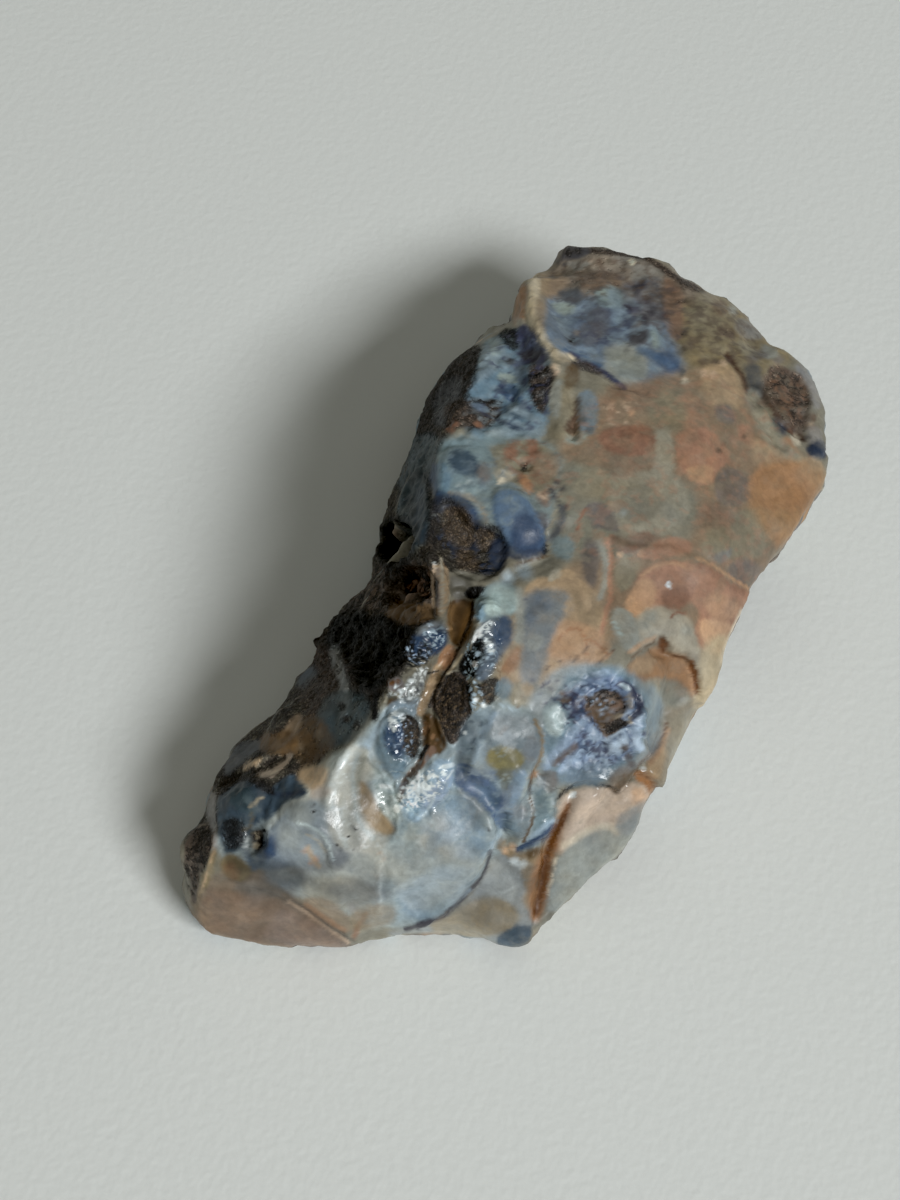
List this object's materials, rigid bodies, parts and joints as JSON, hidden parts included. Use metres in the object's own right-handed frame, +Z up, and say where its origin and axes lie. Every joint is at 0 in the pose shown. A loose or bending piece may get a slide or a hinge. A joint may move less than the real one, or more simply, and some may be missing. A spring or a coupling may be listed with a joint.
{
  "type": "boulder opal",
  "caption": "Rough piece of boulder opal, blue-grey and rusty opal veins in dark ironstone, with chipped glassy scars, lying on its flat side.",
  "frame": {"origin": "middle of the bounding box, on the surface that the stone rests on", "axes": "+Y along the stone's length to its broad far end, +X across it to the thin overhanging edge, +Z up"},
  "size_m": [0.0386, 0.0772, 0.0246],
  "materials": {
    "opal_ironstone": "glassy broken opal in milky blue-grey, olive and rust, beside matt dark brown granular ironstone"
  },
  "bodies": {
    "root": {"boulder_opal": "opal_ironstone"}
  },
  "joints": []
}
